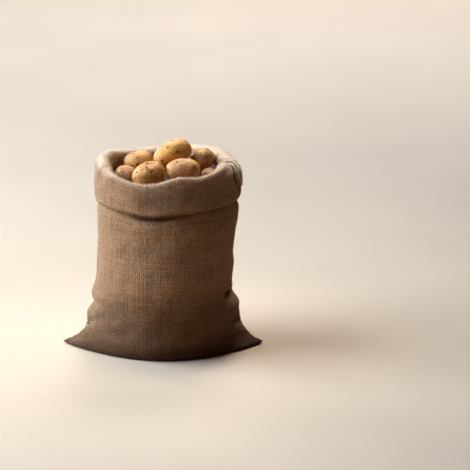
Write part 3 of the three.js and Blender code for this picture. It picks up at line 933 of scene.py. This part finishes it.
def jute_weave(cloth):
    """Coarse plain weave of uneven jute threads, on the cloth's own lengths."""
    bends, bend = 55.0, 0.004  # bends of a thread to a metre, and their reach in metres
    slub_sizes, slub_run = (0.0042, 0.0044), 0.14  # metres across the threads, and the scale along them
    fibre_size, blotch_size = 0.0016, 0.075
    thread_seeds = (0.37, 91.73)

    bench = NodeBench("jute_weave")
    place = bench.add("UVMap", uv_map="cloth").outputs[0]
    wander = bench.fill(bench.add("TexNoise", noise_dimensions="2D"), Vector=place, Scale=bends, Detail=1.0)
    wandered = bench.parts(bench.stretch(wander.outputs["Color"], (bend, bend, 0.0), place))
    across = bench.math("DIVIDE", wandered[0], cloth.warp)
    along = bench.math("DIVIDE", wandered[1], cloth.weft)

    def profile(threads):
        """0 between two threads and 1 on their middles."""
        return bench.math("ABSOLUTE", bench.math("SINE", bench.times(threads, math.pi)))

    def thread_shade(number, seed):
        """A number from 0 to 1 of each thread."""
        node = bench.add("TexWhiteNoise", noise_dimensions="1D")
        return bench.fill(node, W=bench.math("ADD", number, seed)).outputs["Value"]

    def top_thread(own, under, slub):
        """Height of the thread that lies on top."""
        plump = bench.math("POWER", own, bench.window(slub, 0.3, 0.7, 0.95, 0.4))
        return bench.times(plump, bench.line(under, 0.4, 0.6))

    warp, weft = profile(across), profile(along)
    warp_number, weft_number = bench.math("FLOOR", across), bench.math("FLOOR", along)
    over = bench.math("FLOORED_MODULO", bench.math("ADD", warp_number, weft_number), 2.0)
    number = bench.fill(bench.add("CombineXYZ"), X=warp_number, Y=weft_number)
    crossing = bench.fill(bench.add("TexWhiteNoise", noise_dimensions="2D"), Vector=number.outputs[0])
    warp_slub = bench.grain(bench.stretch(place, (1.0, slub_run, 1.0)), slub_sizes[0])
    weft_slub = bench.grain(bench.stretch(place, (slub_run, 1.0, 1.0)), slub_sizes[1])
    height = bench.blend(over, top_thread(warp, weft, warp_slub), top_thread(weft, warp, weft_slub))
    # Painted light: the upright threads come out lighter than the crosswise ones, as light from the side
    # would make them.
    tint = bench.blend(
        over,
        bench.line(thread_shade(warp_number, thread_seeds[0]), 0.4, bench.times(warp_slub, 0.85)),
        bench.line(thread_shade(weft_number, thread_seeds[1]), 0.3, bench.times(weft_slub, 0.65)),
    )
    fibre = bench.grain(bench.place(), fibre_size, 3.0, 0.7)
    blotch = bench.grain(place, blotch_size, 3.0, 0.6)
    shade = bench.vary(bench.vary(tint, fibre, 0.55), blotch, 0.2)
    shade = bench.window(bench.vary(shade, crossing.outputs["Value"], 0.3), 0.0, 1.0)
    colour = bench.mix(shade, opaque(cloth.dark_thread), opaque(cloth.light_thread))
    # Painted highlight: the cloth turns to the pale loose-fibre colour where the rim faces up and on its
    # crests.
    colour = bench.mix(bench.times(bench.attribute("worn"), 0.76), colour, opaque(cloth.loose_fibre))
    # Painted light and shade: thread tops lighter and the gaps between threads darker.
    colour = bench.scale(colour, bench.window(height, 0.0, 0.8, 0.3, 1.15))
    # Painted shade: darker towards the floor.
    above_floor = bench.vary(bench.parts(bench.place())[2], blotch, 0.12)
    colour = bench.scale(colour, bench.window(above_floor, -0.02, 0.12, 0.8, 1.0))
    # Painted shade: the cloth is darkened and warmed in the clefts, in the seam, on the cuff's front, under
    # the cuff and at the foot.
    soil = bench.window(bench.attribute("soil"), 0.1, 1.0)
    colour = bench.mix(soil, colour, bench.stretch(colour, (0.2, 0.11, 0.035)))
    bench.set(Base_Color=colour, Roughness=bench.window(fibre, 0.2, 0.8, 0.98, 0.82))
    bench.set(Specular_IOR_Level=0.15, Sheen_Weight=0.22, Sheen_Roughness=0.5)
    bench.set(Sheen_Tint=(1.0, 0.9, 0.78, 1.0))
    bench.bump(bench.line(fibre, 0.35, height), 0.0018)
    return bench.material


def jute_fibre(cloth):
    """Pale loose fibres."""
    bench = NodeBench("jute_fibre")
    age = bench.grain(bench.place(), 0.006)
    colour = bench.mix(bench.window(age, 0.3, 0.7), opaque(cloth.light_thread), opaque(cloth.loose_fibre))
    bench.set(Base_Color=colour, Roughness=bench.window(age, 0.3, 0.7, 0.6, 0.45), Specular_IOR_Level=0.5)
    return bench.material


def sewing_twine(sewing):
    """Pale hard-twisted jute twine."""
    bench = NodeBench("sewing_twine")
    place = bench.place()
    strand, age = bench.grain(place, 0.0011, 2.0, 0.6), bench.grain(place, 0.02)
    shade = bench.window(bench.line(strand, 0.7, bench.times(age, 0.4)), 0.25, 0.85)
    colour = bench.mix(shade, opaque(sewing.colour, 0.55), opaque(sewing.colour))
    bench.set(Base_Color=colour, Roughness=bench.window(strand, 0.2, 0.8, 0.9, 0.75))
    bench.set(Specular_IOR_Level=0.2, Sheen_Weight=0.3, Sheen_Roughness=0.4)
    bench.bump(strand, 0.0006, 0.8)
    return bench.material


def specks(bench, place, cells_per_metre, share, least, most, soft):
    """Round marks in a share of the cells, of a reach and a soft edge counted in cells."""
    cells = bench.add("TexVoronoi", feature="F1")
    bench.fill(cells, Vector=place, Scale=cells_per_metre)
    pick = bench.fill(bench.add("SeparateColor"), Color=cells.outputs["Color"])
    reach = bench.window(pick.outputs[0], 1.0 - share, 1.0, least, most)
    away = bench.math("SUBTRACT", cells.outputs["Distance"], reach)
    return bench.math("SUBTRACT", 1.0, bench.window(away, -soft, soft))


def potato_skin(potatoes):
    """Thin yellow potato skin with a fine net, specks, dark eyes and a little earth."""
    bench = NodeBench("speckled_skin")
    place = bench.place()
    tone = bench.attribute("tone")
    cloud = bench.grain(place, 0.026, 4.0, 0.6)
    net = bench.grain(place, 0.0036, 3.0, 0.65)
    earth = bench.grain(place, 0.012, 5.0, 0.7)
    mood = bench.window(bench.vary(bench.vary(tone, cloud, 3.6), net, 1.7), -0.1, 1.1)
    colour = bench.mix(mood, opaque(potatoes.yellow), opaque(potatoes.earthy))
    dusty = bench.times(bench.window(earth, 0.5, 0.7), bench.line(tone, 0.5, 0.4))
    colour = bench.mix(dusty, colour, opaque(potatoes.earthy, 0.6))
    # Painted shade: tones above 1 darken the potatoes that lie below or in shadow, and make them matt.
    painted_potato_shade = bench.window(tone, 1.0, 2.0)
    colour = bench.scale(colour, bench.blend(painted_potato_shade, 1.0, 0.35))
    large = specks(bench, place, 88.0, 0.7, 0.06, 0.33, 0.06)
    small = specks(bench, place, 165.0, 0.6, 0.0, 0.3, 0.1)
    marks = bench.math("MAXIMUM", bench.times(large, 0.8), bench.times(small, 0.6))
    marks = bench.math("MAXIMUM", marks, bench.times(bench.attribute("eye"), 0.85))
    colour = bench.mix(marks, colour, opaque(potatoes.speck))
    clean = bench.window(bench.math("ADD", earth, dusty), 0.3, 0.9, 0.44, 0.7)
    rough = bench.blend(bench.math("MAXIMUM", marks, painted_potato_shade), clean, 0.95)
    bench.set(Base_Color=colour, Roughness=rough, Specular_IOR_Level=0.5)
    bench.set(Subsurface_Weight=0.08, Subsurface_Scale=0.004, Subsurface_Radius=(1.0, 0.55, 0.25))
    relief = bench.line(net, 0.5, bench.times(cloud, 0.8))
    bench.bump(bench.line(large, -0.5, relief), 0.0016, 0.8)
    return bench.material


def floor_finish(stage):
    """Plain pale matt floor that throws less light on the sack than it shows."""
    bench = NodeBench("pale_floor")
    mottle = bench.grain(bench.place(), 0.35, 3.0)
    seen = bench.add("LightPath").outputs["Is Camera Ray"]
    colour = bench.mix(seen, opaque(stage.floor), opaque(stage.pale))
    colour = bench.scale(colour, bench.window(mottle, 0.3, 0.7, 0.98, 1.02))
    bench.set(Base_Color=colour, Roughness=bench.window(mottle, 0.3, 0.7, 0.8, 0.9), Specular_IOR_Level=0.2)
    return bench.material


def shared(name, make, *settings):
    """A material made once and then shared."""
    return bpy.data.materials.get(name) or make(*settings)


class JUTE_SACK_OT_stage(bpy.types.Operator):
    """Make the floor, the soft light and the camera"""

    bl_idname = "jute_sack.stage"
    bl_label = "Stage"

    def execute(self, context):
        stage = context.scene.jute_sack.stage
        bm = bmesh.new()
        bmesh.ops.create_grid(bm, x_segments=8, y_segments=8, size=FLOOR_REACH)
        floor = link_piece("floor", mesh_from(bm, "floor", smooth=False))
        floor.data.materials.append(floor_finish(stage))
        for name, setting, place, target, size, colour, spread in LIGHTS:
            self.softbox(name, Vector(place), Vector(target), size, getattr(stage, setting), colour, spread)
        self.room_light(context, stage)
        self.camera(context, stage)
        context.scene.view_settings.view_transform = "Standard"
        return {"FINISHED"}

    def softbox(self, name, place, target, size, power, colour, spread):
        """A square soft light that faces a point."""
        lamp = bpy.data.lights.new(name, "AREA")
        lamp.shape = "SQUARE"
        lamp.size = size
        lamp.spread = math.radians(spread)
        lamp.energy = power
        lamp.color = colour
        light = bpy.data.objects.new(name, lamp)
        light.location = place
        light.rotation_euler = (target - place).to_track_quat("-Z", "Y").to_euler()
        bpy.context.scene.collection.objects.link(light)

    def room_light(self, context, stage):
        """A dim warm room that shows pale behind the floor."""
        world = bpy.data.worlds.new("studio")
        world.use_nodes = True
        nodes, links = world.node_tree.nodes, world.node_tree.links
        dim, pale = nodes["Background"], nodes.new("ShaderNodeBackground")
        dim.inputs["Color"].default_value = ROOM_COLOUR
        dim.inputs["Strength"].default_value = stage.room
        pale.inputs["Color"].default_value = BACKDROP_COLOUR
        seen = nodes.new("ShaderNodeLightPath").outputs["Is Camera Ray"]
        mixed = nodes.new("ShaderNodeMixShader")
        links.new(seen, mixed.inputs[0])
        links.new(dim.outputs[0], mixed.inputs[1])
        links.new(pale.outputs[0], mixed.inputs[2])
        links.new(mixed.outputs[0], nodes["World Output"].inputs["Surface"])
        context.scene.world = world

    def camera(self, context, stage):
        """Stands so that the sack lies in the picture as it does in the photograph."""
        lens = bpy.data.cameras.new("camera")
        lens.sensor_width, lens.lens = SENSOR_WIDTH, FOCAL_LENGTH
        lens.clip_end = CAMERA_REACH
        middle = Vector((0.0, 0.0, AXIS_HEIGHT))
        right = (PICTURE_MIDDLE - AXIS_PIXEL[0]) * METRES_PER_PIXEL
        above = (AXIS_PIXEL[1] - PICTURE_MIDDLE) * METRES_PER_PIXEL
        turned = Euler((math.pi / 2 - stage.elevation, 0.0, 0.0))
        camera = bpy.data.objects.new("camera", lens)
        camera.rotation_euler = turned
        camera.location = middle + turned.to_matrix() @ Vector((right, above, CAMERA_DISTANCE))
        context.scene.collection.objects.link(camera)
        context.scene.camera = camera


class JUTE_SACK_OT_cloth(bpy.types.Operator):
    """Make the sack's cloth"""

    bl_idname = "jute_sack.cloth"
    bl_label = "Sack cloth"

    def execute(self, context):
        cloth = context.scene.jute_sack.cloth
        form = ClothForm(cloth)
        rows, columns = form.points.shape[:2]
        bm = bmesh.new()
        bmesh.ops.create_grid(bm, x_segments=columns - 1, y_segments=rows - 1, size=1.0)
        uv = bm.loops.layers.uv.new("cloth")
        # Vertex values of the painted shade and the painted highlight.
        soil, worn = bm.verts.layers.float.new("soil"), bm.verts.layers.float.new("worn")
        spot = {}
        for vert in bm.verts:
            column = round((vert.co.x + 1) / 2 * (columns - 1))
            row = round((vert.co.y + 1) / 2 * (rows - 1))
            spot[vert] = (row, column)
            vert.co = Vector(form.points[row, column] * MM)
            vert[soil], vert[worn] = form.soil[row, column], form.worn[row, column]
        for face in bm.faces:
            for loop in face.loops:
                row, column = spot[loop.vert]
                loop[uv].uv = (form.across[column], form.places[row] * MM)
        bmesh.ops.remove_doubles(bm, verts=bm.verts[:], dist=SAME_POINT)
        bmesh.ops.dissolve_degenerate(bm, edges=bm.edges[:], dist=NO_LENGTH)
        sack = link_piece("sack", mesh_from(bm, "sack"))
        sack.data.materials.append(shared("jute_weave", jute_weave, cloth))
        wall = sack.modifiers.new("thickness", "SOLIDIFY")
        wall.thickness = cloth.thickness
        wall.offset = 0.0
        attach(sack, BODY)
        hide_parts("sack_cloth")
        return {"FINISHED"}


class JUTE_SACK_OT_fibres(bpy.types.Operator):
    """Make the loose fibres that stand off the cloth"""

    bl_idname = "jute_sack.fibres"
    bl_label = "Fibres"

    def execute(self, context):
        cloth = context.scene.jute_sack.cloth
        form = ClothForm(cloth)
        draw = np.random.default_rng(FIBRE_SEED)
        bm = bmesh.new()
        for first, last, start, end, side, count in FIBRES:
            for _ in range(count):
                place = form.roll_start + draw.uniform(start, end)
                foot, normal = form.locate(draw.uniform(first, last), place, FIBRE_ROOT * side)
                way = normal * side * draw.uniform(*FIBRE_LEAN) + Vector(draw.normal(0.0, FIBRE_STRAY, 3))
                way = way.normalized() * draw.uniform(*FIBRE_LENGTH)
                if foot.z + way.z < 0.0:
                    way.z = -way.z
                self.fibre(bm, foot, way, draw.uniform(*FIBRE_RADIUS))
        bmesh.ops.recalc_face_normals(bm, faces=bm.faces[:])
        piece = link_piece("fibres", mesh_from(bm, "fibres"))
        piece.data.materials.append(shared("jute_fibre", jute_fibre, cloth))
        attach(piece, BODY)
        return {"FINISHED"}

    def fibre(self, bm, foot, way, radius):
        """A three-sided spike."""
        aside = way.orthogonal().normalized() * radius
        third = Matrix.Rotation(math.radians(120), 3, way)
        ring = [bm.verts.new(foot + turned) for turned in (aside, third @ aside, third @ third @ aside)]
        tip = bm.verts.new(foot + way)
        bm.faces.new(ring)
        for a, b in zip(ring, ring[1:] + ring[:1]):
            bm.faces.new((a, b, tip))


class JUTE_SACK_OT_potatoes(bpy.types.Operator):
    """Make the potatoes that show at the mouth"""

    bl_idname = "jute_sack.potatoes"
    bl_label = "Potatoes"

    def execute(self, context):
        potatoes = context.scene.jute_sack.potatoes
        skin = shared("speckled_skin", potato_skin, potatoes)
        for index, row in enumerate(POTATOES):
            node = f"potato_{index + 1:02d}"
            low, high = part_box(node)
            centre = Vector((row[0] * MM, row[1] * MM, (low.z + high.z) / 2))
            bm = bmesh.new()
            detail = MESH_DETAIL[index >= FIRST_ON_TOP]
            grow_potato(bm, row[2:], centre, index + 1, detail, potatoes.eye_depth)
            name = f"tuber_{index + 1:02d}"
            piece = link_piece(name, mesh_from(bm, name))
            piece.data.materials.append(skin)
            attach(piece, BODY)
            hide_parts(node)
        return {"FINISHED"}


def potato_marks(ways, local, long, seed, depth):
    """How far hollows, eyes and stem move a potato's skin, in millimetres, and how dark the marks are."""

    def soft(closeness, offset):
        return np.array([noise.noise(Vector(way) * closeness + Vector(offset)) for way in ways])

    close, step, deep, spread = HOLLOWS
    shift = -deep * long * np.maximum(0.0, soft(close, (seed * step, 0, 0)) + spread)
    close, step, deep = DIMPLES
    shift = shift - deep * long * np.maximum(0.0, soft(close, (0, seed * step, 0)))
    draw = np.random.default_rng(POTATO_SEED + seed)
    dark = np.zeros(len(ways))
    count = EYE_COUNTS[long > LONG_POTATO]
    stray, stray_round = EYE_STRAY
    oval, narrow = EYE_SHAPE
    brow_away, brow_long, brow_wide, brow_high = BROW
    for step in range(count):
        up = 1 - 2 * (step + 0.5 + draw.uniform(-stray, stray)) / count
        spin = step * EYE_TURN + draw.uniform(-stray_round, stray_round)
        flat = math.sqrt(1 - up * up)
        way = np.array([up, flat * math.cos(spin), flat * math.sin(spin)])
        away = local - local[np.argmax(ways @ way)]
        broad = draw.uniform(*EYE_WIDTH)
        along_x, off_x = away[:, 0], np.hypot(away[:, 1], away[:, 2])
        reach = np.hypot(along_x / oval, off_x) / broad
        brow = bell(along_x - brow_away * broad, brow_long * broad) * bell(off_x, brow_wide * broad)
        shift += -depth * draw.uniform(*EYE_DEPTH) * bell(reach, 1.0) + brow_high * depth * brow
        dark = np.maximum(dark, bell(reach * narrow, 1.0) * draw.uniform(*EYE_DARK))
    wide, deep, darkness, narrow = STEM
    stem = np.hypot(local[:, 1], local[:, 2]) / wide
    at_stem = local[:, 0] < 0
    shift -= deep * (bell(stem, 1.0) * at_stem)
    return shift, np.maximum(dark, darkness * bell(stem * narrow, 1.0) * at_stem)


def grow_potato(bm, row, centre, seed, detail, eye_depth):
    """Adds one potato to a mesh: a blunt oval with soft hollows, eyes and a stem end."""
    long, wide, tall, turn, lift, swell, tone = row
    eye_layer = bm.verts.layers.float.get("eye") or bm.verts.layers.float.new("eye")
    tone_layer = bm.verts.layers.float.get("tone") or bm.verts.layers.float.new("tone")
    made = bmesh.ops.create_icosphere(bm, subdivisions=detail, radius=1.0)["verts"]
    ways = np.array([vert.co for vert in made])
    round_part = np.hypot(ways[:, 1], ways[:, 2])
    size = (np.abs(ways[:, 0]) ** BLUNT + round_part**BLUNT) ** (1 / BLUNT)
    unit = ways / size[:, None]
    girth = 1 + swell * unit[:, 0]
    local = np.stack([long * unit[:, 0], wide * girth * unit[:, 1], tall * girth * unit[:, 2]], 1)
    shift, dark = potato_marks(ways, local, long, seed, eye_depth / MM)
    outward = local / np.array([long**2, wide**2, tall**2])
    outward /= np.linalg.norm(outward, axis=1, keepdims=True)
    local += outward * shift[:, None]
    turned = Euler((0.0, -math.radians(lift), math.radians(turn)), "XYZ").to_matrix()
    for vert, point, shade in zip(made, local, dark):
        vert.co = centre + turned @ Vector(point) * MM
        vert[eye_layer] = shade
        vert[tone_layer] = tone


class JUTE_SACK_OT_filling(bpy.types.Operator):
    """Make the potatoes that fill the sack below those at the mouth"""

    bl_idname = "jute_sack.filling"
    bl_label = "Filling"

    def execute(self, context):
        potatoes = context.scene.jute_sack.potatoes
        low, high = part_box("potato_bed")
        draw = np.random.default_rng(BED_SEEDS[0])
        bm = bmesh.new()
        for layer in range(int((high.z - low.z) / LAYER_STEP)):
            z = high.z - BED_INSET - layer * LAYER_STEP
            detail, seed = BED_DETAIL[layer == 0], BED_SEEDS[1] + layer
            for row in BED_ROWS:
                y = row * ROW_STEP + (layer % 2) * ROW_STEP / 2
                for step in BED_ROWS:
                    x = BED_MIDDLE + (step + 0.5 * (row % 2)) * PLACE_STEP + (layer % 2) * PLACE_STEP / 3
                    if math.hypot(x - BED_MIDDLE, y) > BED_REACH:
                        continue
                    sizes = [draw.uniform(*limits) for limits in BED_SIZES]
                    values = (*sizes, draw.uniform(0, 180), 0.0, BED_SWELL, draw.uniform(*BED_TONES))
                    grow_potato(bm, values, Vector((x, y, z)), seed, detail, BED_EYES)
        piece = link_piece("filling", mesh_from(bm, "filling"))
        piece.data.materials.append(shared("speckled_skin", potato_skin, potatoes))
        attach(piece, BODY)
        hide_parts("potato_bed")
        return {"FINISHED"}


class JUTE_SACK_OT_sewing(bpy.types.Operator):
    bl_idname = "jute_sack.sewing"
    bl_label = "Sewing"

    def execute(self, context):
        settings = context.scene.jute_sack
        form = ClothForm(settings.cloth)
        sewing = settings.sewing
        stitches = self.twine_mesh("stitches", self.side_stitches(form, sewing), sewing.twine / 2)
        strands = self.twine_mesh("seam_strands", self.seam_strands(form), sewing.strand / 2)
        for piece in (stitches, strands):
            piece.data.materials.append(shared("sewing_twine", sewing_twine, sewing))
            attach(piece, BODY)
        return {"FINISHED"}

    def seam_strands(self, form):
        """Strands of twine laid along the bands, from inside the mouth over the rim to the cuff."""
        sway, sway_pace = STRAND_SWAY
        climb, climb_pace = STRAND_CLIMB
        lines = []
        for lift, path in STRANDS:
            places, turns = zip(*path)
            line = []
            for place in np.arange(places[0], places[-1], STRAND_STEP):
                turn = np.interp(place, places, turns) + sway * math.sin(place * sway_pace + turns[0])
                off = lift + climb * math.sin(place * climb_pace + turns[0])
                line.append(form.locate(turn, form.roll_start + place, -off)[0])
            lines.append(line)
        return lines

    def side_stitches(self, form, sewing):
        """Overcast stitches down the sewn sides of the wall."""
        places = np.arange(form.wall_start + FIRST_STITCH, form.wall_end, sewing.pitch / MM)
        return [
            [form.locate(turn + aside, place + climb, lift)[0] for aside, climb, lift in STITCH]
            for turn in SEAM_LINE
            for place in places
        ]

    def twine_mesh(self, name, lines, radius):
        """One mesh of short round strands, each along a smooth curve through its points."""
        curve = bpy.data.curves.new(name, "CURVE")
        curve.dimensions = "3D"
        curve.bevel_depth = radius
        curve.bevel_resolution = 1
        curve.resolution_u = 3
        curve.use_fill_caps = True
        for line in lines:
            spline = curve.splines.new("BEZIER")
            spline.bezier_points.add(len(line) - 1)
            for point, place in zip(spline.bezier_points, line):
                point.co = place
                point.handle_left_type = point.handle_right_type = "AUTO"
        holder = link_piece(name + "_line", curve)
        bpy.context.view_layer.update()
        shape = holder.evaluated_get(bpy.context.evaluated_depsgraph_get())
        mesh = bpy.data.meshes.new_from_object(shape)
        bpy.data.objects.remove(holder)
        mesh.name = name
        mesh.shade_smooth()
        return link_piece(name, mesh)


class JUTE_SACK_PT_panel(bpy.types.Panel):
    """Lists the pieces of the sack of potatoes"""

    bl_idname = "JUTE_SACK_PT_panel"
    bl_label = "Jute Sack"
    bl_space_type = "VIEW_3D"
    bl_region_type = "UI"
    bl_category = "Jute Sack"

    def draw(self, context):
        settings = context.scene.jute_sack
        for operator in OPERATORS:
            self.layout.operator(operator.bl_idname)
        for group in (settings.cloth, settings.sewing, settings.potatoes, settings.stage):
            box = self.layout.box()
            for name in group.__annotations__:
                box.prop(group, name)


OPERATORS = (
    JUTE_SACK_OT_stage,
    JUTE_SACK_OT_cloth,
    JUTE_SACK_OT_potatoes,
    JUTE_SACK_OT_filling,
    JUTE_SACK_OT_fibres,
    JUTE_SACK_OT_sewing,
)
CLASSES = (
    ClothSettings,
    SewingSettings,
    PotatoSettings,
    StageSettings,
    SackSettings,
    *OPERATORS,
    JUTE_SACK_PT_panel,
)


def register():
    for item in CLASSES:
        bpy.utils.register_class(item)
    bpy.types.Scene.jute_sack = bpy.props.PointerProperty(type=SackSettings)


def unregister():
    del bpy.types.Scene.jute_sack
    for item in reversed(CLASSES):
        bpy.utils.unregister_class(item)


def main():
    register()
    bpy.ops.jute_sack.stage()
    bpy.ops.jute_sack.cloth()
    bpy.ops.jute_sack.potatoes()
    bpy.ops.jute_sack.filling()
    bpy.ops.jute_sack.fibres()
    bpy.ops.jute_sack.sewing()
    bpy.context.view_layer.update()


if __name__ == "__main__":
    main()
